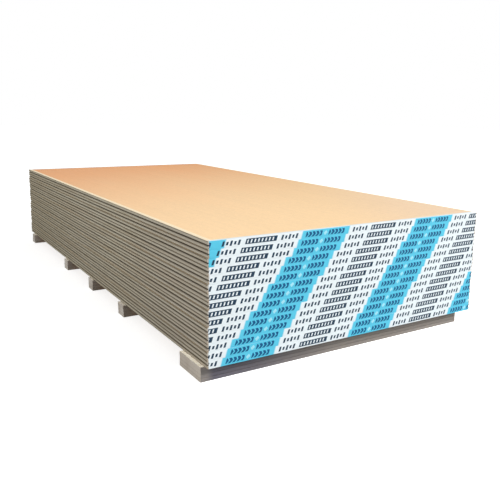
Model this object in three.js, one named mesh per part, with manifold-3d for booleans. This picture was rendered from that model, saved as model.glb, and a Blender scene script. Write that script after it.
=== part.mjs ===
// A lift of drywall as it is stored and handled: thirty half-inch boards of gypsum in paper, taped at
// both ends in fifteen face-to-face pairs, on five risers glued up from strips of the same board.
//
// Millimetres, +Z up. X runs across the boards and Y along them. The origin is on the floor, under the
// middle of the stack. It needs the npm packages three and manifold-3d.

import * as THREE from 'three';
import { mergeVertices } from 'three/addons/utils/BufferGeometryUtils.js';
import Module from 'manifold-3d';

const wasm = await Module();
wasm.setup();

// ---- Driving dimensions ----

// One board. Its two long edges are tapered on the face side, for the joint compound, and its face
// paper is folded round them, which leaves the corners slightly round.
const boardWidth = 1219.2;
const boardLength = 2438.4;
const boardThickness = 12.7;
const taperWidth = 57;
const taperDepth = 1.9;
const edgeRadius = 2.2;

// The stack of pairs, and how far a pair may lie out of line across and along the stack.
const pairCount = 15;
const pairDriftAcross = 1.6;
const pairDriftAlong = 0.8;
const boardDriftAcross = 0.5;

// The paper tape over each end of a pair: how far it stays short of the long edges, how far it laps
// onto the two backs, and the inside radius of its folds.
const tapeThickness = 0.3;
const tapeInset = 5;
const flapLength = 14;
const foldRadius = 0.3;

// The risers, each glued up from strips of board. The broad one is under the front end.
const riserLayers = 4;
const riserWidth = 64;
const broadRiserWidth = 152;
const frontRiserInset = 23;
const rearRiserInset = 77;
const middleRiserPlaces = [-478, -59, 361];
const riserOverhang = 8;
const broadRiserOverhang = 11;
const riserSetback = 53;
const riserDriftAcross = 3;
const stripDrift = 0.8;
const stripEdgeRadius = 0.6;

// The air between two pieces that lie on each other, and between the two faces of a pair: boards are
// never quite flat, so a stack is a little taller than its boards.
const clearance = 0.2;
const faceGap = 0.5;

// What is fused into one solid overlaps by this much, so that the join is certain.
const fuseLap = 0.02;

// Straight segments for a quarter of a circle, divided by two.
const arcSegments = 2;

// ---- Heights that follow ----

const riserHeight = riserLayers * boardThickness;
const seatGap = tapeThickness + 2 * clearance;
const pairHeight = 2 * boardThickness + faceGap;
const pairGap = 2 * tapeThickness + 3 * clearance;
const pairPitch = pairHeight + pairGap;

// ---- Helpers ----

// A steady value from -1 to 1 for each index. Neighbours differ, as laid pieces do.
function drift(index) {
  const goldenShare = (Math.sqrt(5) - 1) / 2;
  return 2 * ((index * goldenShare) % 1) - 1;
}

// A section whose x is world X and whose y is world Z, extruded along Y and centred on it.
function extrudeAlongY(section, length) {
  const options = { depth: length, bevelEnabled: false, curveSegments: arcSegments };
  const geometry = new THREE.ExtrudeGeometry(section, options);
  geometry.translate(0, 0, -length / 2);
  geometry.rotateX(Math.PI / 2);
  return geometry;
}

// A section whose x is world Y and whose y is world Z, extruded along X and centred on it.
function extrudeAlongX(section, length) {
  const options = { depth: length, bevelEnabled: false, curveSegments: arcSegments };
  const geometry = new THREE.ExtrudeGeometry(section, options);
  geometry.translate(0, 0, -length / 2);
  geometry.rotateX(Math.PI / 2);
  geometry.rotateZ(Math.PI / 2);
  return geometry;
}

// Closed geometries joined into one.
function fuse(geometries) {
  let joined = null;
  for (const geometry of geometries) {
    const bare = geometry.clone();
    bare.deleteAttribute('normal');
    bare.deleteAttribute('uv');
    const merged = mergeVertices(bare);
    const vertProperties = merged.attributes.position.array;
    const triVerts = new Uint32Array(merged.index.array);
    const solid = new wasm.Manifold(new wasm.Mesh({ numProp: 3, vertProperties, triVerts }));
    joined = joined ? joined.add(solid) : solid;
  }
  const mesh = joined.getMesh();
  const result = new THREE.BufferGeometry();
  result.setAttribute('position', new THREE.BufferAttribute(mesh.vertProperties, 3));
  result.setIndex(new THREE.BufferAttribute(mesh.triVerts, 1));
  const faceted = result.toNonIndexed();
  faceted.computeVertexNormals();
  return faceted;
}

function nodeNumber(number) {
  return String(number).padStart(2, '0');
}

// ---- Materials ----

function boardPaper() {
  return new THREE.MeshStandardMaterial({ color: 0xe0b487, roughness: 0.9, metalness: 0 });
}

function tapePaper() {
  return new THREE.MeshStandardMaterial({ color: 0x7fc6e2, roughness: 0.6, metalness: 0 });
}

function stripPaper() {
  return new THREE.MeshStandardMaterial({ color: 0x9a958a, roughness: 0.9, metalness: 0 });
}

// ---- Boards ----

// The section across a board, lying on its back: flat below, with a tapered band along each side of
// the face above. The arcs touch the edge and the slope that they join.
function boardSection() {
  const side = boardWidth / 2;
  const slope = Math.atan2(taperDepth, taperWidth);
  const edgeHeight = boardThickness - taperDepth;
  const arcX = side - edgeRadius;
  const faceArcZ = edgeHeight + edgeRadius * Math.tan(slope) - edgeRadius / Math.cos(slope);
  const quarter = Math.PI / 2;

  const section = new THREE.Shape();
  section.moveTo(-arcX, 0);
  section.lineTo(arcX, 0);
  section.absarc(arcX, edgeRadius, edgeRadius, -quarter, 0, false);
  section.lineTo(side, faceArcZ);
  section.absarc(arcX, faceArcZ, edgeRadius, 0, quarter - slope, false);
  section.lineTo(side - taperWidth, boardThickness);
  section.lineTo(taperWidth - side, boardThickness);
  section.absarc(-arcX, faceArcZ, edgeRadius, quarter + slope, 2 * quarter, false);
  section.lineTo(-side, edgeRadius);
  section.absarc(-arcX, edgeRadius, edgeRadius, 2 * quarter, 3 * quarter, false);
  return section;
}

function makeBoard(geometry, number) {
  const board = new THREE.Mesh(geometry, boardPaper());
  board.name = 'sheet_' + nodeNumber(number);
  board.position.x = boardDriftAcross * drift(number);
  return board;
}

// ---- End tapes ----

// The section along a tape that is folded over the end of a pair. The boards' cut ends are at x = 0,
// the boards lie on the +x side, and the lower back is at y = 0.
function tapeSection(flapThickness) {
  const inner = -clearance;
  const outer = inner - tapeThickness;
  const innerLow = -clearance;
  const innerHigh = pairHeight + clearance;
  const outerLow = innerLow - flapThickness;
  const outerHigh = innerHigh + flapThickness;
  const outerRadius = foldRadius + tapeThickness;
  const quarter = Math.PI / 2;

  const section = new THREE.Shape();
  section.moveTo(flapLength, outerHigh);
  section.lineTo(outer + outerRadius, outerHigh);
  section.absarc(outer + outerRadius, outerHigh - outerRadius, outerRadius, quarter, 2 * quarter, false);
  section.lineTo(outer, outerLow + outerRadius);
  section.absarc(outer + outerRadius, outerLow + outerRadius, outerRadius, 2 * quarter, 3 * quarter, false);
  section.lineTo(flapLength, outerLow);
  section.lineTo(flapLength, innerLow);
  section.lineTo(inner + foldRadius, innerLow);
  section.absarc(inner + foldRadius, innerLow + foldRadius, foldRadius, 3 * quarter, 2 * quarter, true);
  section.lineTo(inner, innerHigh - foldRadius);
  section.absarc(inner + foldRadius, innerHigh - foldRadius, foldRadius, 2 * quarter, quarter, true);
  section.lineTo(flapLength, innerHigh);
  return section;
}

const tapeLength = boardWidth - 2 * tapeInset;

function makeFrontTape(geometry, number) {
  const tape = new THREE.Mesh(geometry, tapePaper());
  tape.name = 'front_tape_' + nodeNumber(number);
  tape.position.y = -boardLength / 2;
  return tape;
}

// The rear tapes are one comb. Each flap is thick enough to meet the flap of the next pair.
function makeRearTapes(places) {
  const section = tapeSection(pairGap / 2 - clearance + fuseLap / 2);
  const tapes = places.map((place) => {
    const tape = extrudeAlongX(section, tapeLength);
    tape.rotateZ(Math.PI);
    tape.translate(place.x, place.y + boardLength / 2, place.z);
    return tape;
  });
  const comb = new THREE.Mesh(fuse(tapes), tapePaper());
  comb.name = 'rear_tapes';
  return comb;
}

// ---- Pairs ----

function pairPlace(index) {
  const x = pairDriftAcross * drift(index + 1);
  const y = pairDriftAlong * drift(3 * index + 2);
  const z = riserHeight + seatGap + index * pairPitch;
  return new THREE.Vector3(x, y, z);
}

// Two boards and their front tape. The lower board lies face up and the upper one face down.
function makePair(index, boardGeometry, tapeGeometry) {
  const pair = new THREE.Group();
  const lower = makeBoard(boardGeometry, 2 * index + 1);
  const upper = makeBoard(boardGeometry, 2 * index + 2);
  upper.rotation.y = Math.PI;
  upper.position.z = pairHeight;
  pair.add(lower, upper, makeFrontTape(tapeGeometry, index + 1));
  pair.position.copy(pairPlace(index));
  return pair;
}

// ---- Risers ----

// The section along the stack of one strip of board: square cut, with its edges slightly crushed.
function stripSection(width, height) {
  const half = width / 2;
  const radius = stripEdgeRadius;
  const quarter = Math.PI / 2;
  const section = new THREE.Shape();
  section.moveTo(-half + radius, 0);
  section.lineTo(half - radius, 0);
  section.absarc(half - radius, radius, radius, -quarter, 0, false);
  section.lineTo(half, height - radius);
  section.absarc(half - radius, height - radius, radius, 0, quarter, false);
  section.lineTo(-half + radius, height);
  section.absarc(-half + radius, height - radius, radius, quarter, 2 * quarter, false);
  section.lineTo(-half, radius);
  section.absarc(-half + radius, radius, radius, 2 * quarter, 3 * quarter, false);
  return section;
}

// A riser from its strips. It pokes out at the -X side and stops short of the +X side of the stack.
function makeRiser(number, seat) {
  const length = boardWidth + seat.overhang - riserSetback;
  const strips = [];
  for (let layer = 0; layer < riserLayers; layer += 1) {
    const isTop = layer === riserLayers - 1;
    const height = isTop ? boardThickness : boardThickness + fuseLap;
    const strip = extrudeAlongX(stripSection(seat.width, height), length);
    const acrossShift = stripDrift * drift(number + 2 * layer);
    const alongShift = stripDrift * drift(2 * number + 3 * layer);
    strip.translate(acrossShift, alongShift, layer * boardThickness);
    strips.push(strip);
  }
  const riser = new THREE.Mesh(fuse(strips), stripPaper());
  riser.name = 'riser_' + number;
  const leftEnd = -boardWidth / 2 - seat.overhang + riserDriftAcross * drift(number);
  riser.position.set(leftEnd + length / 2, seat.centre, 0);
  return riser;
}

function riserSeats() {
  const frontCentre = -boardLength / 2 + frontRiserInset + broadRiserWidth / 2;
  const rearCentre = boardLength / 2 - rearRiserInset - riserWidth / 2;
  const front = { centre: frontCentre, width: broadRiserWidth, overhang: broadRiserOverhang };
  const narrow = [...middleRiserPlaces, rearCentre].map((centre) => {
    return { centre, width: riserWidth, overhang: riserOverhang };
  });
  return [front, ...narrow];
}

// ---- The lift ----

const lift = new THREE.Group();

riserSeats().forEach((seat, index) => lift.add(makeRiser(index + 1, seat)));

const boardGeometry = extrudeAlongY(boardSection(), boardLength);
const frontTapeGeometry = extrudeAlongX(tapeSection(tapeThickness), tapeLength);
const pairPlaces = [];
for (let index = 0; index < pairCount; index += 1) {
  pairPlaces.push(pairPlace(index));
  lift.add(makePair(index, boardGeometry, frontTapeGeometry));
}
lift.add(makeRearTapes(pairPlaces));

export default lift;
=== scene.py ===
# %% [markdown]
# # A lift of drywall sheets, dressed in Blender
#
# Thirty gypsum boards lie in fifteen pairs, face to face. A printed paper tape closes each pair at
# both ends, and five risers glued from board strips keep the lift off the floor for a fork truck.
# The solids come in as a fixed frame. Every cell below makes one finish or one kind of piece, and
# the finished piece takes the place of its solid. All lengths are metres.

# %% Load the fixed frame
import math

import bpy
from mathutils import Euler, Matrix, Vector


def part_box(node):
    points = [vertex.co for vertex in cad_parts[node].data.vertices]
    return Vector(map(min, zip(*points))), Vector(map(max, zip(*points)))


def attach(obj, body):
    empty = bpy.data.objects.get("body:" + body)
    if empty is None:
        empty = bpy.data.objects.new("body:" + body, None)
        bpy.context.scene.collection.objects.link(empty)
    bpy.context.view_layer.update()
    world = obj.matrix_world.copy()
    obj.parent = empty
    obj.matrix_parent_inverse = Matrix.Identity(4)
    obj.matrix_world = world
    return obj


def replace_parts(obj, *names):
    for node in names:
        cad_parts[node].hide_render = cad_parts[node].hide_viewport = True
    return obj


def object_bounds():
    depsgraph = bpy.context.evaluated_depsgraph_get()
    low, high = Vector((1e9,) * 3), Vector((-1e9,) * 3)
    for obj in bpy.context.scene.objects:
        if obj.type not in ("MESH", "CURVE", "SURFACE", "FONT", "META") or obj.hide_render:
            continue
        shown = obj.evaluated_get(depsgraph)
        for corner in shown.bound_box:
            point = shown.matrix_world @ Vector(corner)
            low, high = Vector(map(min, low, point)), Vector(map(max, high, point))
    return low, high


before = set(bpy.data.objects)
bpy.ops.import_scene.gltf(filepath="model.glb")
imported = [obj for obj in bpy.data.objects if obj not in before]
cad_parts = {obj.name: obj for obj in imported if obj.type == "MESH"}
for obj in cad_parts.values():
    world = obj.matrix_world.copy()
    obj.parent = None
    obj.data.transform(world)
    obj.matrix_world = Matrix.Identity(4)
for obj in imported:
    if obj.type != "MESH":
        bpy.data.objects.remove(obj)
solid_low, solid_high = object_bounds()
scene = bpy.context.scene
print("solids:", len(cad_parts), "in a box of", [round(v, 3) for v in solid_high - solid_low])

# %% [markdown]
# ## The camera
# A product shot of a long stack is taken from near one corner, a little above it, with a normal
# lens. A camera is its place, the way it looks, and how large one radian comes out on the picture.
# The picture is a crop, so its middle isn't where the lens points: the shift takes that up.

# %% Camera
picture_size = 500.0
lens_points_at = (230.0, 220.0)
pixels_per_radian = 596.7
camera_place = Vector((-1.4326, -2.7487, 0.8360))
camera_turn = math.radians(30.436)
camera_dip = math.radians(10.230)
camera_tilt = math.radians(0.750)

camera = bpy.data.objects.new("camera", bpy.data.cameras.new("camera"))
scene.collection.objects.link(camera)
scene.camera = camera
camera.data.lens = camera.data.sensor_width * pixels_per_radian / picture_size
camera.data.shift_x = (picture_size / 2 - lens_points_at[0]) / picture_size
camera.data.shift_y = (lens_points_at[1] - picture_size / 2) / picture_size
aim = Euler((math.pi / 2 - camera_dip, 0, -camera_turn), "XYZ").to_matrix()
camera.rotation_euler = (aim @ Euler((0, 0, camera_tilt)).to_matrix()).to_euler()
camera.location = camera_place
print("lens:", round(camera.data.lens, 1), "mm")

# %% [markdown]
# ## Light
# The stack stands in a white studio. One big soft lamp in front and to the right lights the taped
# end and the top, and the white room fills in the rest, so the long side on the left stays in
# shade. The lamp is far off, because light from a near lamp falls off along a stack this long. A
# weak lamp, low on the left, reaches in under the stack. The tops of the risers that stick out there
# lie in the stack's shadow, so a third lamp is linked to the risers and lights nothing else.

# %% Lamps
def soft_lamp(name, place, target, size, power):
    """A square lamp that looks from place at target. Its power is in watts."""
    lamp = bpy.data.lights.new(name, "AREA")
    lamp.size = size
    lamp.energy = power
    holder = bpy.data.objects.new(name, lamp)
    scene.collection.objects.link(holder)
    holder.location = place
    holder.rotation_euler = (Vector(target) - Vector(place)).to_track_quat("-Z", "Y").to_euler()
    return holder


key_lamp = soft_lamp("key_lamp", (7.9, -7.2, 7.5), (0.1, -0.3, 0.3), size=4.8, power=1610)
low_lamp = soft_lamp("low_lamp", (-4.6, -1.6, 1.3), (-0.6, -0.1, 0.1), size=1.4, power=29)
riser_lamp = soft_lamp("riser_lamp", (-2.6, 0.2, 2.4), (-0.6, -0.1, 0.05), size=1.2, power=66)
scene.view_settings.view_transform = "Standard"
for lamp in (key_lamp, low_lamp, riser_lamp):
    print(lamp.name, lamp.data.energy, "W")

# %% [markdown]
# ## Short words for node trees
# Blender's materials and its Geometry Nodes are both trees of nodes. `Graph` adds nodes to a tree,
# and a `Wire` is a value that comes out of one. Sums and products of wires add Math nodes, so a
# pattern can be written as the formula that it is.

# %% Wire
class Wire:
    """A value that comes out of a node. Arithmetic on it adds Math nodes to its tree."""

    def __init__(self, graph, socket):
        self.graph = graph
        self.socket = socket

    def __add__(self, other):
        return self.graph.math("ADD", self, other)

    def __sub__(self, other):
        return self.graph.math("SUBTRACT", self, other)

    def __rsub__(self, other):
        return self.graph.math("SUBTRACT", other, self)

    def __mul__(self, other):
        return self.graph.math("MULTIPLY", self, other)

    def __truediv__(self, other):
        return self.graph.math("DIVIDE", self, other)

    def __neg__(self):
        return self.graph.math("MULTIPLY", self, -1.0)

    def __abs__(self):
        return self.graph.math("ABSOLUTE", self)

    __radd__ = __add__
    __rmul__ = __mul__


# %% Graph
class Graph:
    """A node tree, with short ways to add nodes to it."""

    def __init__(self, tree):
        self.tree = tree

    def plug(self, socket, value):
        """A wire is linked to the socket, and a plain value is set on it."""
        if isinstance(value, Wire):
            self.tree.links.new(value.socket, socket)
        else:
            socket.default_value = value

    def node(self, kind, inputs=None, **settings):
        """Adds a node. The settings are its own, and the inputs go by socket name or number."""
        node = self.tree.nodes.new(kind)
        for name, value in settings.items():
            setattr(node, name, value)
        for key, value in (inputs or {}).items():
            self.plug(node.inputs[key], value)
        return node

    def wire(self, kind, inputs=None, output=0, **settings):
        """Adds a node and returns one of its outputs."""
        return Wire(self, self.node(kind, inputs, **settings).outputs[output])

    def math(self, operation, *values):
        return self.wire("ShaderNodeMath", dict(enumerate(values)), operation=operation)

    def vector(self, x, y, z):
        return self.wire("ShaderNodeCombineXYZ", {0: x, 1: y, 2: z})

    def parts(self, vector):
        """The x, y and z of a vector."""
        split = self.node("ShaderNodeSeparateXYZ", {0: vector})
        return [Wire(self, out) for out in split.outputs]

    def within(self, value, low, high):
        """1 where value lies between low and high, and 0 elsewhere."""
        return self.math("COMPARE", value, (low + high) / 2, (high - low) / 2)

    def below(self, value, limit):
        return self.math("LESS_THAN", value, limit)

    def above(self, value, limit):
        return self.math("GREATER_THAN", value, limit)

    def rise(self, value, low, high):
        """Grows smoothly from 0 at low to 1 at high."""
        settings = {"Value": value, "From Min": low, "From Max": high}
        return self.wire("ShaderNodeMapRange", settings, interpolation_type="SMOOTHSTEP")

    def repeat(self, value, length):
        """How far value is into the stretch of this length that it falls in."""
        return self.math("FLOORED_MODULO", value, length)

    def stretch(self, place, across, along, up):
        """The place scaled by its own number along each axis, so that a round noise turns long."""
        x, y, z = self.parts(place)
        return self.vector(x * across, y * along, z * up)

    def noise(self, place, scale=1.0, detail=2.0, roughness=0.5):
        """Soft noise around 0.5, about scale lumps to the metre."""
        settings = {"Vector": place, "Scale": scale, "Detail": detail, "Roughness": roughness}
        return self.wire("ShaderNodeTexNoise", settings)


print("words:", ", ".join(name for name in vars(Graph) if not name.startswith("_")))

# %% [markdown]
# ## White room and floor
# A white background could come from a very bright room, but that would wash out the object too.
# Light Path tells rays apart: the camera, mirrors and glass see plain white, and every other ray
# meets the room's true, weaker light. The floor works the same way. It glows a little towards the
# camera only, which leaves just the soft shadow near the stack.

# %% White room
room_light = 0.37
scene.world = bpy.data.worlds.new("white_room")
scene.world.use_nodes = True
scene.world.node_tree.nodes.clear()
room = Graph(scene.world.node_tree)
rays = room.node("ShaderNodeLightPath")
seen = Wire(room, rays.outputs["Is Camera Ray"])
for name in ("Is Glossy Ray", "Is Transmission Ray"):
    seen = room.math("MAXIMUM", seen, Wire(room, rays.outputs[name]))
room_fill = room.wire("ShaderNodeBackground", {"Color": (1, 1, 1, 1), "Strength": room_light})
plain_white = room.wire("ShaderNodeBackground", {"Color": (1, 1, 1, 1), "Strength": 1.0})
sky = room.wire("ShaderNodeMixShader", {0: seen, 1: room_fill, 2: plain_white})
room.node("ShaderNodeOutputWorld", {"Surface": sky})
print("room light:", room_light)

# %% Floor
floor_reach = 30.0
floor_grey = 0.80
floor_glow = 0.75
floor_mesh = bpy.data.meshes.new("floor")
corners = [(-1, -1), (1, -1), (1, 1), (-1, 1)]
floor_mesh.from_pydata([(x * floor_reach, y * floor_reach, 0) for x, y in corners], [], [(0, 1, 2, 3)])
floor = bpy.data.objects.new("floor", floor_mesh)
scene.collection.objects.link(floor)
floor_paint = bpy.data.materials.new("floor paint")
floor_paint.use_nodes = True
floor_paint.node_tree.nodes.clear()
ground = Graph(floor_paint.node_tree)
matt = ground.wire("ShaderNodeBsdfDiffuse", {"Color": (floor_grey, floor_grey, floor_grey, 1.0)})
rays = ground.node("ShaderNodeLightPath")
glow_strength = Wire(ground, rays.outputs["Is Camera Ray"]) * floor_glow
glow = ground.wire("ShaderNodeEmission", {"Strength": glow_strength})
lit_floor = ground.wire("ShaderNodeAddShader", {0: matt, 1: glow})
ground.node("ShaderNodeOutputMaterial", {"Surface": lit_floor})
floor_mesh.materials.append(floor_paint)
print("floor:", 2 * floor_reach, "m square")

# %% [markdown]
# ## Paper and gypsum
# A board is gypsum cast between two papers. Its back is brown kraft, made from old cartons: long
# fibres lie along the board, pulp clouds it softly, and single dark fibres show. The face paper is
# smoother and ivory. It wraps round both long edges and laps onto the back, where it stays clean and
# is painted lighter than on the edges, a painted light for the band on top of the stack. The joints
# between boards are darkened with painted shade, most of it where two backs meet. A scan of real
# paper could be wrapped round each board, but thirty boards would then share its marks, so noise
# makes both papers. Stretched along Y it gives the fibres, and it lifts the surface a little too, so
# that grazing light finds the grain. Both papers also change their tone slowly from one end of the
# stack to the other. The kraft turns darker and oranger towards the far end and the left, partly an
# ageing tone and partly painted shade, and it is painted lighter towards the right side and the near
# right corner, a painted light. The ivory turns darker towards both ends.

# %% Words for materials
def paint(red, green, blue):
    """An 8-bit screen colour as the linear colour that lamps and shaders work in."""
    def linear(value):
        value /= 255
        return value / 12.92 if value <= 0.04045 else ((value + 0.055) / 1.055) ** 2.4
    return (linear(red), linear(green), linear(blue), 1.0)


def finish(name):
    """A new material with its graph, its Principled shader and the place on the object as a wire."""
    material = bpy.data.materials.new(name)
    material.use_nodes = True
    material.node_tree.nodes.clear()
    graph = Graph(material.node_tree)
    shader = graph.node("ShaderNodeBsdfPrincipled")
    graph.node("ShaderNodeOutputMaterial", {"Surface": Wire(graph, shader.outputs[0])})
    place = graph.wire("ShaderNodeTexCoord", output=3)
    return material, graph, shader, place


def blend(graph, amount, first, second):
    """The first colour where amount is 0, and the second where it is 1."""
    mix = graph.node("ShaderNodeMix", data_type="RGBA")
    graph.plug(mix.inputs["Factor"], amount)
    graph.plug(mix.inputs["A"], first)
    graph.plug(mix.inputs["B"], second)
    return Wire(graph, mix.outputs["Result"])


def shade(graph, colour, amount):
    """The colour made lighter or darker by a factor near 1."""
    return graph.wire("ShaderNodeVectorMath", {0: colour, 3: amount}, operation="SCALE")


def emboss(graph, height, depth):
    """A surface normal from a height that runs from 0 to 1 and stands for this many metres."""
    return graph.wire("ShaderNodeBump", {"Height": height, "Distance": depth})


def from_section(graph):
    """Where a point is in its board's section: in from the long edge, and up from the back."""
    section = graph.wire("ShaderNodeAttribute", output=1, attribute_name="section")
    return graph.parts(section)[:2]


# %% Kraft back paper
fresh_kraft = paint(252, 217, 170)
aged_and_shaded_kraft = paint(239, 175, 124)
painted_lit_kraft = paint(249, 219, 187)
dark_fibre = paint(178, 130, 92)
kraft_relief = 0.00012

kraft_paper, g, shader, place = finish("kraft back paper")
fibres = g.noise(g.stretch(place, 900.0, 110.0, 900.0), detail=3.0)
pulp = g.noise(g.stretch(place, 95.0, 60.0, 95.0), detail=4.0)
patches = g.noise(g.stretch(place, 3.2, 1.1, 3.2), detail=3.0, roughness=0.55)
streaks = g.noise(g.stretch(place, 46.0, 0.7, 46.0), detail=2.0)
loose_fibres = g.rise(g.noise(g.stretch(place, 520.0, 150.0, 520.0), detail=1.0), 0.70, 0.78)
across, along, _ = g.parts(place)
# Darker and oranger towards the far end and the left: partly an ageing tone, partly painted shade.
age_and_shade = g.rise(along - across * 0.35 + (patches - 0.5) * 0.7, -1.05, 1.45)
# Painted light: the kraft turns lighter and paler towards the near right corner.
painted_light_corner = g.rise(across - along * 0.6, 0.55, 1.35)
tone = blend(g, age_and_shade, fresh_kraft, aged_and_shaded_kraft)
tone = blend(g, painted_light_corner, tone, painted_lit_kraft)
tone = blend(g, loose_fibres * 0.35, tone, dark_fibre)
lightness = (fibres - 0.5) * 0.16 + (pulp - 0.5) * 0.14 + (patches - 0.5) * 0.10
# Painted light and shade: lighter on the right side and darker on the left, more so towards the far end.
lightness = lightness + across * (g.rise(along, -1.2, 1.2) * 0.08 + 0.09)
g.plug(shader.inputs["Base Color"], shade(g, tone, lightness + (streaks - 0.5) * 0.08 + 1.0))
g.plug(shader.inputs["Roughness"], fibres * 0.15 + 0.70)
g.plug(shader.inputs["Normal"], emboss(g, fibres * 0.6 + pulp * 0.4, kraft_relief))
shader.inputs["Specular IOR Level"].default_value = 0.25
print("kraft back paper:", len(g.tree.nodes), "nodes")

# %% The board's section, and where painted shade lies in its joints
board_thickness = 0.0127
taper_depth = 0.0019
lap_width = 0.019
edge_height = board_thickness - taper_depth
open_edge = solid_high.z - 0.004
# Painted shade in the ivory joints: most by the backs, less by the faces, a little less along the open
# top edge.
shade_by_backs = 1.12
shade_by_faces = 0.72
shade_on_open_edge = 0.85
shade_cover = 0.80
print("long edge:", round(edge_height * 1000, 1), "mm high")

# %% Ivory face paper
clean_ivory = paint(210, 202, 180)
scuffed_ivory = paint(189, 178, 152)
browned_ivory = paint(197, 179, 150)
rear_ivory = paint(184, 171, 138)
front_ivory = paint(181, 172, 160)
# Painted shade for the joints between boards.
joint_painted_shade = paint(105, 93, 75)
# Painted light: the lap is painted lighter than the same ivory paper on the long edges.
clean_lap_painted_light = paint(250, 232, 198)
ivory_relief = 0.00008

face_paper, g, shader, place = finish("ivory face paper")
_, along, up = g.parts(place)
inset, height = from_section(g)
fibres = g.noise(g.stretch(place, 1100.0, 140.0, 1100.0), detail=3.0)
scuffs = g.noise(g.stretch(place, 70.0, 5.0, 160.0), detail=4.0, roughness=0.6)
each_board = g.noise(g.stretch(place, 3.0, 1.6, 60.0), detail=2.0)
lap = g.rise(inset, 0.0012, 0.0030) * g.below(height, 0.0004)
# Painted shade in the joints between boards, kept off the lap.
by_the_back = 1.0 - g.rise(height, 0.0006, 0.0042)
by_the_face = g.rise(height, edge_height - 0.0036, edge_height)
in_a_joint = g.below(up, open_edge) * (1.0 - shade_on_open_edge) + shade_on_open_edge
dust_and_shade = g.math("MINIMUM", by_the_back * shade_by_backs + by_the_face * shade_by_faces, 1.0)
dust_and_shade = dust_and_shade * (1.0 - lap) * in_a_joint
tone = blend(g, g.rise(scuffs, 0.42, 0.72), clean_ivory, scuffed_ivory)
tone = blend(g, g.rise(each_board, 0.45, 0.75) * 0.6, tone, browned_ivory)
tone = blend(g, g.rise(along, -0.2, 1.3) * 0.5, tone, rear_ivory)
tone = blend(g, (1.0 - g.rise(along, -1.2, -0.3)) * 0.5, tone, front_ivory)
tone = blend(g, dust_and_shade * shade_cover, tone, joint_painted_shade)
# The lap stays clean and takes its painted light.
tone = blend(g, lap, tone, clean_lap_painted_light)
g.plug(shader.inputs["Base Color"], shade(g, tone, (fibres - 0.5) * 0.14 + 1.0))
g.plug(shader.inputs["Roughness"], fibres * 0.12 + 0.62)
g.plug(shader.inputs["Normal"], emboss(g, fibres, ivory_relief))
shader.inputs["Specular IOR Level"].default_value = 0.3
print("ivory face paper:", len(g.tree.nodes), "nodes")

# %% Gypsum core
paper_thickness = 0.0004
line_blur = 0.0003
taper_width = 0.057
gypsum_grey = paint(184, 178, 168)
open_pore = paint(132, 125, 115)
cut_paper = paint(160, 132, 102)
gypsum_relief = 0.0006

gypsum_core, g, shader, place = finish("gypsum core")
inset, height = from_section(g)
grains = g.noise(place, 900.0, detail=4.0, roughness=0.7)
pores = g.rise(g.noise(place, 520.0, detail=1.0), 0.36, 0.30)
taper = g.math("MAXIMUM", 1.0 - inset / taper_width, 0.0)
under_face = board_thickness - taper * taper_depth - height
nearest_paper = g.math("MINIMUM", g.math("MINIMUM", under_face, height), inset)
paper_line = 1.0 - g.rise(nearest_paper, paper_thickness, paper_thickness + line_blur)
tone = blend(g, pores * 0.5, gypsum_grey, open_pore)
tone = blend(g, paper_line * 0.8, tone, cut_paper)
g.plug(shader.inputs["Base Color"], shade(g, tone, (grains - 0.5) * 0.25 + 1.0))
g.plug(shader.inputs["Normal"], emboss(g, grains - pores * 0.6, gypsum_relief))
shader.inputs["Roughness"].default_value = 0.95
print("gypsum core:", len(g.tree.nodes), "nodes")

# %% [markdown]
# ## One tree for every sheet
# A drywall sheet has the same section from end to end. It could be a box with its edges cut, but
# the taper and the lap of the face paper are easier to draw once in the section, as the corners of
# one half with a radius on each, and then to pull along the board. One geometry tree with named
# sizes makes all thirty boards, and a slow noise lets each long edge wander a little, as edges
# wrapped in paper do. The tree marks its faces with a zone number while the board still lies flat,
# so that the last nodes know where each paper goes.

# %% Words for geometry trees
KINDS = {float: "NodeSocketFloat", int: "NodeSocketInt", tuple: "NodeSocketVector"}


def geometry_tree(name, sizes):
    """A geometry tree with a named input for each size. Returns its graph and the inputs as wires."""
    tree = bpy.data.node_groups.new(name, "GeometryNodeTree")
    for label, value in sizes.items():
        socket = tree.interface.new_socket(label, in_out="INPUT", socket_type=KINDS[type(value)])
        socket.default_value = value
    tree.interface.new_socket("Geometry", in_out="OUTPUT", socket_type="NodeSocketGeometry")
    entry = tree.nodes.new("NodeGroupInput")
    graph = Graph(tree)
    return graph, {label: Wire(graph, entry.outputs[label]) for label in sizes}


def pick(graph, index, values):
    """The value whose number is index."""
    switch = graph.node("GeometryNodeIndexSwitch", data_type="FLOAT")
    while len(switch.index_switch_items) < len(values):
        switch.index_switch_items.new()
    graph.plug(switch.inputs[0], index)
    for number, value in enumerate(values):
        graph.plug(switch.inputs[number + 1], value)
    return Wire(graph, switch.outputs[0])


# %% Words for a swept section
def mirrored(corners):
    """The same corners on the other side of the middle, in the order that carries on round."""
    return [(-across, up, radius) for across, up, radius in reversed(corners)]


def outline(graph, corners, arc_points):
    """A closed curve through corners given as (across, up, radius), clockwise. A sweep along +Y
    turns a curve's own Y downwards, so the heights are drawn downwards here."""
    index = graph.wire("GeometryNodeInputIndex")
    across, up, radius = [pick(graph, index, column) for column in zip(*corners)]
    spots = {"Count": len(corners), "Position": graph.vector(across, -up, 0.0)}
    curve = graph.wire("GeometryNodePointsToCurves", {0: graph.wire("GeometryNodePoints", spots)})
    curve = graph.wire("GeometryNodeSetSplineCyclic", {"Geometry": curve, "Cyclic": True})
    rounding = {"Curve": curve, "Count": arc_points, "Radius": radius, "Limit Radius": True}
    return graph.wire("GeometryNodeFilletCurve", rounding, mode="POLY")


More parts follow.
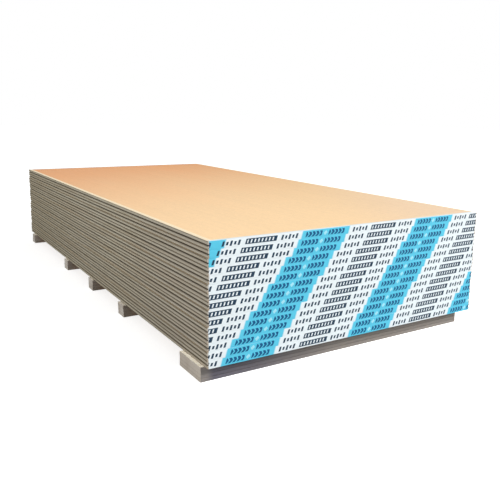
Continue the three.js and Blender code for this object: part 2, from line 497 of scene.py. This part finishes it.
def sweep(graph, section, length, steps):
    """The section pulled along Y over length, centred, with closed ends."""
    start = graph.vector(0.0, length * -0.5, 0.0)
    end = graph.vector(0.0, length * 0.5, 0.0)
    path = graph.wire("GeometryNodeCurvePrimitiveLine", {"Start": start, "End": end})
    path = graph.wire("GeometryNodeResampleCurve", {"Curve": path, "Count": steps}, mode="COUNT")
    pulled = {"Curve": path, "Profile Curve": section, "Fill Caps": True}
    return graph.wire("GeometryNodeCurveToMesh", pulled)


# %% Words for what a tree does to a mesh
def drift(graph, place, wavelength, seed, amount):
    """A slow wander of plus or minus amount along a wire, its own for each seed."""
    spot = graph.vector(place / wavelength, seed * 7.31, 0.5)
    return (graph.noise(spot, detail=1.0) - 0.5) * amount * 2.0


def remember(graph, mesh, name, value, kind, domain):
    """Keeps a value on the mesh under a name, where later nodes and materials can read it."""
    settings = {"Geometry": mesh, "Name": name, "Value": value}
    return graph.wire("GeometryNodeStoreNamedAttribute", settings, data_type=kind, domain=domain)


def shift(graph, mesh, x, y, z):
    """Moves every point by its own offset."""
    offset = {"Geometry": mesh, "Offset": graph.vector(x, y, z)}
    return graph.wire("GeometryNodeSetPosition", offset)


def place_at(graph, mesh, place, turn):
    """Turns the mesh round the three axes and puts it in its place."""
    return graph.wire("GeometryNodeTransform", {"Geometry": mesh, "Translation": place, "Rotation": turn})


# %% From a tree to a plain mesh
def finish_tree(graph, mesh, materials):
    """Realizes the mesh and gives each zone number its material. Zone 0 is everything else."""
    mesh = graph.wire("GeometryNodeRealizeInstances", {"Geometry": mesh})
    zone = graph.wire("GeometryNodeInputNamedAttribute", {"Name": "zone"}, data_type="INT")
    for number, material in enumerate(materials):
        chosen = graph.within(zone, number - 0.5, number + 0.5)
        coated = {"Geometry": mesh, "Selection": chosen, "Material": material}
        mesh = graph.wire("GeometryNodeSetMaterial", coated)
    graph.node("NodeGroupOutput", {"Geometry": mesh})
    return graph.tree


def grow(tree, name, sizes, smooth_below=math.radians(34)):
    """Runs a geometry tree with these sizes and returns the result as a plain mesh object."""
    piece = bpy.data.objects.new(name, bpy.data.meshes.new(name))
    scene.collection.objects.link(piece)
    modifier = piece.modifiers.new(tree.name, "NODES")
    modifier.node_group = tree
    for item in tree.interface.items_tree:
        if item.in_out == "INPUT":
            modifier[item.identifier] = sizes[item.name]
    evaluated = piece.evaluated_get(bpy.context.evaluated_depsgraph_get())
    mesh = bpy.data.meshes.new_from_object(evaluated)
    piece.modifiers.clear()
    piece.data = mesh
    mesh.name = name
    mesh.shade_smooth()
    mesh.set_sharp_from_angle(angle=smooth_below)
    return piece


# %% The sheet tree
lap_slope = 0.0006
back_margin = 0.002
sway_length = 0.45
tremble_length = 0.07
lift_length = 0.6
lift = 0.00012
sheet_sizes = {
    "Width": 1.2192, "Length": 2.4384, "Thickness": board_thickness, "Taper Width": taper_width,
    "Taper Depth": taper_depth, "Edge Radius": 0.0022, "Lap Width": lap_width, "Lap Step": 0.0003,
    "Wander": 0.0004, "Steps": 90, "Seed": 0, "Turn": 0.0, "Place": (0.0, 0.0, 0.0),
}
g, size = geometry_tree("drywall sheet", sheet_sizes)
half = size["Width"] * 0.5 - size["Wander"]
lap_end = half - size["Lap Width"]
right_side = [
    (half - size["Taper Width"], size["Thickness"], 0.0),
    (half, size["Thickness"] - size["Taper Depth"], size["Edge Radius"]),
    (half, 0.0, size["Edge Radius"]),
    (lap_end, 0.0, 0.0),
    (lap_end - lap_slope, size["Lap Step"], 0.0),
]
section = outline(g, mirrored(right_side) + right_side, arc_points=5)
mesh = sweep(g, section, size["Length"], size["Steps"])
x, y, z = g.parts(g.wire("GeometryNodeInputPosition"))
_, facing_along, facing_up = g.parts(g.wire("GeometryNodeInputNormal"))
on_back = g.below(facing_up, -0.9) * g.below(abs(x), lap_end - back_margin)
on_end = g.above(abs(facing_along), 0.9)
mesh = remember(g, mesh, "section", g.vector(half - abs(x), z, y), "FLOAT_VECTOR", "POINT")
mesh = remember(g, mesh, "zone", on_back + on_end * 2.0, "INT", "FACE")
sway = drift(g, y, sway_length, size["Seed"], size["Wander"])
tremble = drift(g, y, tremble_length, size["Seed"] + 40.0, size["Wander"] * 0.3)
heave = drift(g, y, lift_length, size["Seed"] + 80.0, lift)
mesh = shift(g, mesh, sway + tremble, 0.0, heave)
mesh = place_at(g, mesh, size["Place"], g.vector(0.0, size["Turn"], 0.0))
sheet_tree = finish_tree(g, mesh, [face_paper, kraft_paper, gypsum_core])
print("sheet tree:", len(sheet_tree.nodes), "nodes")

# %% Thirty sheets
sheet_nodes = sorted(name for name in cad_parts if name.startswith("sheet_"))
for number, node in enumerate(sheet_nodes):
    low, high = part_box(node)
    face_down = number % 2 == 1
    sizes = dict(sheet_sizes, Seed=number, Width=high.x - low.x, Length=high.y - low.y)
    sizes["Turn"] = math.pi if face_down else 0.0
    back = high.z if face_down else low.z
    sizes["Place"] = ((low.x + high.x) / 2, (low.y + high.y) / 2, back)
    sheet = grow(sheet_tree, "board_" + node[-2:], sizes)
    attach(sheet, "root")
    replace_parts(sheet, node)
print("sheets:", len(sheet_nodes), "of", len(sheet.data.polygons), "faces each")

# %% [markdown]
# ## The printed end tape
# A paper tape is wrapped over the cut ends of each pair and glued down, so that the two boards
# travel as one and the crumbly ends stay whole. It is printed on a roll: slanting blue fields on
# white, and in them plain marks such as a packer reads from afar. The marks could be cut out as
# shapes, but ink has no thickness, so the print is worked out in the material. It reads the tape's
# own map, in metres along and across the unrolled strip, so it runs over the folds without a break.

# %% Where a point is on the roll
field_repeat = 0.520
blue_field = 0.202
long_field = 0.230
field_lean = 0.30
mark_lean = 0.35
ink_spread = 0.007
ink_creep = 0.0007
printed_half = 0.0146

tape_print, g, shader, place = finish("printed end tape")
strip_map = g.wire("ShaderNodeUVMap", uv_map="strip")
u, v, _ = g.parts(strip_map)
u = u + (g.noise(strip_map, 700.0, detail=2.0) - 0.5) * ink_creep
height = abs(v)
field_place = g.repeat(u - v * field_lean, field_repeat)
in_third = g.repeat(u - v * field_lean, field_repeat * 3.0)
mark_place = g.repeat(u - v * mark_lean, field_repeat)
field_end = g.above(in_third, field_repeat * 2.0) * (long_field - blue_field) + blue_field
blue = g.rise(field_place, 0.0, ink_spread)
blue = blue * (1.0 - g.rise(field_place - field_end, 0.0, ink_spread))
blue = blue * g.below(height, printed_half)
print("the roll repeats every", round(field_repeat * 3.0, 3), "m")


# %% Marks of the print
mark_half = 0.0086


def strokes(start, pitch, width):
    """1 on the first part, this wide, of every stretch of one pitch."""
    return g.within(g.repeat(start, pitch), 0.0, width)


def bar(start, end, slit_pitch=0.0136, slit=0.0052, frame_width=0.006, slit_share=0.62):
    """A leaning bar with slits through its middle."""
    body = g.within(mark_place, start, end) * g.below(height, mark_half)
    slits = strokes(mark_place - start - slit, slit_pitch, slit)
    window = g.within(mark_place, start + frame_width, end - frame_width)
    window = window * g.below(height, mark_half * slit_share)
    return body * (1.0 - slits * window)


def ticks(start, end, pitch=0.0142, width=0.0078, short_half=0.0052, tall_half=0.0080):
    """A ruler of leaning strokes, every other one tall."""
    tall = strokes(mark_place - start, pitch * 2.0, pitch)
    tops = g.below(height, tall * (tall_half - short_half) + short_half)
    return g.within(mark_place, start, end) * strokes(mark_place - start, pitch, width) * tops


def chevrons(start, end, pitch=0.0154, width=0.0104, slope=0.8):
    """A row of arrowheads, all one way."""
    heads = strokes(mark_place - start + height * slope, pitch, width)
    return g.within(mark_place, start, end) * heads * g.below(height, mark_half)


def diamond(middle, half_height):
    return g.below(abs(mark_place - middle) + height, half_height)


navy = g.math("MAXIMUM", bar(0.307, 0.425), ticks(0.223, 0.2886))
navy = g.math("MAXIMUM", navy, ticks(0.4420, 0.5076))
deep_blue = g.math("MAXIMUM", chevrons(0.020, 0.088), chevrons(0.116, 0.184))
sparks = diamond(0.102, 0.0084)
print("marks:", round(2000 * mark_half, 1), "mm high")

# %% Ink on paper
paper_white = paint(227, 235, 238)
sky_blue_ink = paint(86, 196, 225)
deep_blue_ink = paint(0, 82, 128)
pale_blue_ink = paint(160, 220, 236)
navy_ink = paint(27, 54, 76)
tape_relief = 0.0005
ink_cover = g.noise(strip_map, 55.0, detail=3.0)
paper_grain = g.noise(g.stretch(place, 500.0, 900.0, 900.0), detail=3.0)
wrinkles = g.noise(g.stretch(place, 16.0, 60.0, 60.0), detail=2.0)
tone = blend(g, blue, paper_white, sky_blue_ink)
tone = blend(g, deep_blue, tone, deep_blue_ink)
tone = blend(g, sparks, tone, pale_blue_ink)
tone = blend(g, navy, tone, navy_ink)
mottle = (ink_cover - 0.5) * 0.10 + (paper_grain - 0.5) * 0.06
g.plug(shader.inputs["Base Color"], shade(g, tone, mottle + 1.0))
g.plug(shader.inputs["Roughness"], paper_grain * 0.12 + blue * -0.10 + 0.50)
g.plug(shader.inputs["Normal"], emboss(g, wrinkles + paper_grain * 0.06, tape_relief))
shader.inputs["Specular IOR Level"].default_value = 0.25
print("print:", len(g.tree.nodes), "nodes")

# %% [markdown]
# ## One tree for every tape
# The tape is a folded strip, so it is swept too, across the stack this time: the front panel, a
# tight fold at the top and the bottom, and a flap onto each back. The panel is pressed in a little
# where the two tapered boards meet behind it. The torn edge of each flap wanders. Paper this thin
# would look like a blade in the light if its folds were sharp, so they keep a small radius.
#
# The tree also lays the strip out for baking, in rows on a square map called OFBake. One long
# strip would leave most of that square empty and the print blurred.

# %% The tape's maps
bake_rows = 4
bake_side = 0.325
rows_apart = 0.068
row_half = 0.029
hidden_side_starts = 0.059
hidden_side_share = 0.1


def bake_map(graph, mesh, along, across, outward, length):
    """Cuts the strip into rows and lays them one above the other in a square. The glued side of
    the paper, which nobody sees, is squeezed in beside the printed one."""
    row_length = length / bake_rows
    on_face = {0: (along + length * 0.5) / row_length}
    row = graph.wire("GeometryNodeFieldOnDomain", on_face, domain="FACE", data_type="FLOAT")
    row = graph.math("MAXIMUM", graph.math("MINIMUM", graph.math("FLOOR", row), bake_rows - 1.0), 0.0)
    face_out = graph.wire("GeometryNodeFieldOnDomain", {0: outward}, domain="FACE", data_type="FLOAT")
    printed = graph.above(face_out, 0.0)
    spot_across = across + row_half
    glued_place = spot_across * hidden_side_share + hidden_side_starts
    up = printed * spot_across + (1.0 - printed) * glued_place
    in_row = along + length * 0.5 - row * row_length
    map_u = (in_row + abs(across) * 0.5 + 0.001) / bake_side
    map_v = (row * rows_apart + up + 0.002) / bake_side
    spot = graph.vector(map_u, map_v, 0.0)
    return remember(graph, mesh, "OFBake", spot, "FLOAT2", "CORNER")


# %% The tape tree
flap_wander = 0.0004
flap_wander_length = 0.11
tape_sizes = {
    "Across": 1.2092, "Height": 0.0269, "Flap": 0.0142, "Thickness": 0.0003, "Fold Radius": 0.0005,
    "Crease": 0.0002, "Steps": 61, "Seed": 0, "Roll Place": 0.0, "Turn": 0.0, "Place": (0.0, 0.0, 0.0),
}
g, size = geometry_tree("end tape", tape_sizes)
top = size["Height"] * 0.5
skin = size["Thickness"]
flap = size["Flap"]
outside = [(size["Crease"], 0.0, 0.0), (0.0, top, size["Fold Radius"]), (flap, top, 0.0)]
inside = [(flap, top - skin, 0.0), (skin, top - skin, size["Fold Radius"] * 0.5)]
turned_back = [(size["Crease"] + skin, 0.0, 0.0)]
lower_inside = [(across, -up, radius) for across, up, radius in reversed(inside)]
lower_outside = [(across, -up, radius) for across, up, radius in reversed(outside[1:])]
corners = outside + inside + turned_back + lower_inside + lower_outside
mesh = sweep(g, outline(g, corners, arc_points=4), size["Across"], size["Steps"])
mesh = place_at(g, mesh, (0.0, 0.0, 0.0), (0.0, 0.0, math.pi / 2))
x, y, z = g.parts(g.wire("GeometryNodeInputPosition"))
_, facing_along, facing_up = g.parts(g.wire("GeometryNodeInputNormal"))
side = g.math("SIGN", z)
unrolled = z + side * y
mesh = remember(g, mesh, "strip", g.vector(x + size["Roll Place"], unrolled, 0.0), "FLOAT2", "CORNER")
mesh = bake_map(g, mesh, x, unrolled, side * facing_up - facing_along, size["Across"])
mesh = remember(g, mesh, "zone", 0, "INT", "FACE")
on_flap = g.rise(y, 0.002, 0.010)
torn_edge = drift(g, x, flap_wander_length, size["Seed"] + side * 3.0, flap_wander) * on_flap
mesh = shift(g, mesh, 0.0, torn_edge, 0.0)
mesh = place_at(g, mesh, size["Place"], g.vector(0.0, 0.0, size["Turn"]))
tape_tree = finish_tree(g, mesh, [tape_print])
print("tape tree:", len(tape_tree.nodes), "nodes")

# %% [markdown]
# ## Fifteen tapes at each end
# Every pair is closed a little further along the roll than the one above it, so the blue fields
# climb the stack like stairs. The machine that tapes three pairs at a time makes every third step
# longer. The rear end was taped from another roll.

# %% Front tapes
pair_step = 0.017
third_step = 0.032
front_field = -0.264
rear_field = 0.118


def roll_place(first_field, row):
    """Where a blue field starts on this row, counted from the top."""
    return first_field - row * pair_step - (row // 3) * (third_step - pair_step)


def tape_over(name, number, place, turn, first_field):
    """One tape like the solid of this number, at its own place on the roll."""
    low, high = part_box(tape_nodes[number])
    row = len(tape_nodes) - 1 - number
    sizes = dict(tape_sizes, Seed=number, Turn=turn, Place=place)
    sizes["Across"] = high.x - low.x
    sizes["Height"] = high.z - low.z
    sizes["Flap"] = high.y - low.y - flap_wander
    middle = (low.x + high.x) / 2 * math.cos(turn)
    sizes["Roll Place"] = middle - roll_place(first_field, row) + field_repeat * 3.0
    tape = grow(tape_tree, name, sizes, math.radians(50))
    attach(tape, "root")
    return tape


tape_nodes = sorted(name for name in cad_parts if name.startswith("front_tape_"))
for number, node in enumerate(tape_nodes):
    low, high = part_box(node)
    place = ((low.x + high.x) / 2, low.y, (low.z + high.z) / 2)
    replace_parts(tape_over("end_tape_" + node[-2:], number, place, 0.0, front_field), node)
print("front tapes:", len(tape_nodes))

# %% Rear tapes
for number, node in enumerate(tape_nodes):
    low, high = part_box(node)
    near_low, near_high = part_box(sheet_nodes[2 * number])
    stands_off = near_low.y - low.y
    place = ((low.x + high.x) / 2, near_high.y + stands_off, (low.z + high.z) / 2)
    tape = tape_over("rear_tape_" + node[-2:], number, place, math.pi, rear_field)
    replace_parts(tape, "rear_tapes")
print("rear tapes:", len(tape_nodes))

# %% [markdown]
# ## Scrap paper and cut ends
# A riser is four strips of scrap board glued flat on each other. Its cut ends show dusty gypsum
# between thin paper lines, and its long faces turn a plain grey close to the left ends. The broad
# riser at the front took the darkest scraps, under a fresh top paper, and its paper is painted darker
# still towards the left, away from the key lamp, a painted shade. The tops of the narrow risers are
# painted darker, a painted shade for the stack's shadow. Every layer could get a material of its
# own, but all layers are one board high, so a single material can tell them apart by their height.

# %% Riser paper
layer_height = board_thickness
front_riser_ends = -1.0
joint_width = 0.0014
left_shaded_scrap = paint(94, 91, 101)
right_dark = paint(134, 127, 120)
brown_scrap = paint(160, 137, 118)
pale_scrap = paint(183, 166, 150)
glue_line = paint(66, 58, 55)
left_end_grey = paint(146, 139, 131)
scrap_relief = 0.0002

riser_paper, g, shader, place = finish("riser paper")
x, y, z = g.parts(place)
in_layer = g.repeat(z, layer_height)
layer_place = g.vector(x * 0.5, y * 0.5, g.math("FLOOR", z / layer_height) * 3.7)
each_layer = g.noise(layer_place, detail=1.0)
dust_and_shade = g.noise(g.stretch(place, 14.0, 14.0, 120.0), detail=4.0, roughness=0.6)
fibres = g.noise(g.stretch(place, 130.0, 130.0, 1000.0), detail=3.0)
over_joint = 1.0 - g.rise(in_layer, 0.0, joint_width)
under_joint = g.rise(in_layer, layer_height - joint_width, layer_height)
# Painted shade: the broad riser's paper darkens from the right towards its left end.
dark_scrap_and_shade = blend(g, g.rise(x, -0.60, 0.00), left_shaded_scrap, right_dark)
light_scrap = blend(g, g.rise(dust_and_shade, 0.35, 0.75), brown_scrap, pale_scrap)
tone = blend(g, g.below(y, front_riser_ends), light_scrap, dark_scrap_and_shade)
tone = blend(g, (over_joint + under_joint) * 0.60, tone, glue_line)
# The long faces turn a plain grey close to the left ends.
near_left_end = 1.0 - g.rise(x, -0.605, -0.570)
tone = blend(g, near_left_end * 0.7, tone, left_end_grey)
lightness = (fibres - 0.5) * 0.20 + (each_layer - 0.5) * 0.9
g.plug(shader.inputs["Base Color"], shade(g, tone, lightness + 1.0))
g.plug(shader.inputs["Normal"], emboss(g, fibres + dust_and_shade * 0.5, scrap_relief))
g.plug(shader.inputs["Roughness"], dust_and_shade * 0.15 + 0.75)
print("riser paper:", len(g.tree.nodes), "nodes")

# %% Riser top paper
fresh_top = paint(250, 243, 226)
scuffed_top = paint(236, 225, 202)
narrow_top_painted_shade = paint(188, 180, 166)
top_relief = 0.0001

riser_top, g, shader, place = finish("riser top paper")
_, y, _ = g.parts(place)
fibres = g.noise(g.stretch(place, 130.0, 1000.0, 1000.0), detail=3.0)
scuffs = g.noise(g.stretch(place, 24.0, 60.0, 60.0), detail=4.0, roughness=0.6)
tone = blend(g, g.rise(scuffs, 0.40, 0.75), fresh_top, scuffed_top)
# Painted shade: the tops of the narrow risers, in the stack's shadow, are painted darker.
tone = blend(g, g.above(y, front_riser_ends), tone, narrow_top_painted_shade)
g.plug(shader.inputs["Base Color"], shade(g, tone, (fibres - 0.5) * 0.16 + 1.0))
g.plug(shader.inputs["Normal"], emboss(g, fibres, top_relief))
g.plug(shader.inputs["Roughness"], scuffs * 0.15 + 0.65)
print("riser top paper:", len(g.tree.nodes), "nodes")

# %% Riser cut ends
cut_gypsum = paint(180, 174, 166)
stained_gypsum = paint(158, 149, 138)
front_stain = paint(170, 159, 144)
strip_paper = paint(108, 97, 84)
paper_starts = 0.0004
paper_ends = 0.0011
cut_relief = 0.0005

riser_cut, g, shader, place = finish("riser cut end")
_, y, z = g.parts(place)
in_layer = g.repeat(z, layer_height)
grains = g.noise(place, 700.0, detail=4.0, roughness=0.7)
knife = g.noise(g.stretch(place, 30.0, 260.0, 24.0), detail=3.0)
stains = g.noise(place, 22.0, detail=3.0)
lower_paper = 1.0 - g.rise(in_layer, paper_starts, paper_ends)
upper_paper = g.rise(in_layer, layer_height - paper_ends, layer_height - paper_starts)
tone = blend(g, g.rise(stains, 0.35, 0.70), cut_gypsum, stained_gypsum)
tone = blend(g, (lower_paper + upper_paper) * 0.5, tone, strip_paper)
tone = blend(g, g.below(y, front_riser_ends) * 0.5, tone, front_stain)
g.plug(shader.inputs["Base Color"], shade(g, tone, (grains - 0.5) * 0.3 + (knife - 0.5) * 0.2 + 1.0))
g.plug(shader.inputs["Normal"], emboss(g, grains * 0.5 + knife, cut_relief))
shader.inputs["Roughness"].default_value = 0.95
print("riser cut end:", len(g.tree.nodes), "nodes")

# %% [markdown]
# ## One tree for every riser
# The strips of a riser never line up quite, so its sides show small steps, which a plain box with
# drawn lines would lose. One strip is swept, and an instance of it goes on one point for each layer,
# pushed a little out of line by a random value with a fixed seed. The instances are then realized,
# so that the nodes after them can bend each strip by itself and mark its ends and the top.

# %% The riser tree
glue_gap = 0.0001
strip_wander = 0.0004
strip_wander_length = 0.30
riser_sizes = {
    "Layers": 4, "Layer Height": layer_height, "Width": 0.064, "Length": 1.175, "Strip Drift": 0.0008,
    "Edge Radius": 0.0007, "Steps": 40, "Seed": 0, "Place": (0.0, 0.0, 0.0),
}
g, size = geometry_tree("riser", riser_sizes)
half = size["Width"] * 0.5 - size["Strip Drift"]
thick = size["Layer Height"] - glue_gap
right_side = [(half, thick, size["Edge Radius"]), (half, 0.0, size["Edge Radius"])]
strip_length = size["Length"] - size["Strip Drift"] * 2.0
section = outline(g, mirrored(right_side) + right_side, arc_points=3)
strip = sweep(g, section, strip_length, size["Steps"])
strip = place_at(g, strip, (0.0, 0.0, 0.0), (0.0, 0.0, math.pi / 2))
layer = g.wire("GeometryNodeInputIndex")
pushes = {"Min": (-1.0, -1.0, 0.0), "Max": (1.0, 1.0, 0.0), "ID": layer, "Seed": size["Seed"]}
push = g.wire("FunctionNodeRandomValue", pushes, data_type="FLOAT_VECTOR")
push_x, push_y, _ = g.parts(push)
drift_size = size["Strip Drift"]
level = g.vector(push_x * drift_size, push_y * drift_size, layer * size["Layer Height"])
spots = g.wire("GeometryNodePoints", {"Count": size["Layers"], "Position": level})
mesh = g.wire("GeometryNodeInstanceOnPoints", {"Points": spots, "Instance": strip})
mesh = g.wire("GeometryNodeRealizeInstances", {"Geometry": mesh})
x, y, z = g.parts(g.wire("GeometryNodeInputPosition"))
facing_across, _, facing_up = g.parts(g.wire("GeometryNodeInputNormal"))
on_end = g.above(abs(facing_across), 0.9)
on_top = g.above(facing_up, 0.9) * g.above(z, size["Layer Height"] * (size["Layers"] - 0.5))
mesh = remember(g, mesh, "zone", on_end + on_top * 2.0, "INT", "FACE")
strip_seed = size["Seed"] + z * 300.0
mesh = shift(g, mesh, 0.0, drift(g, x, strip_wander_length, strip_seed, strip_wander), 0.0)
mesh = place_at(g, mesh, size["Place"], (0.0, 0.0, 0.0))
riser_tree = finish_tree(g, mesh, [riser_paper, riser_cut, riser_top])
print("riser tree:", len(riser_tree.nodes), "nodes")

# %% Five risers
riser_blocks = bpy.data.collections.new("riser blocks")
riser_lamp.light_linking.receiver_collection = riser_blocks
riser_nodes = sorted(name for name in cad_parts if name.startswith("riser_"))
for number, node in enumerate(riser_nodes):
    low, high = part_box(node)
    sizes = dict(riser_sizes, Seed=number, Width=high.y - low.y, Length=high.x - low.x)
    sizes["Place"] = ((low.x + high.x) / 2, (low.y + high.y) / 2, low.z)
    riser = grow(riser_tree, "riser_block_" + node[-1], sizes)
    riser_blocks.objects.link(riser)
    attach(riser, "root")
    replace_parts(riser, node)
print("risers:", len(riser_nodes))

# %% [markdown]
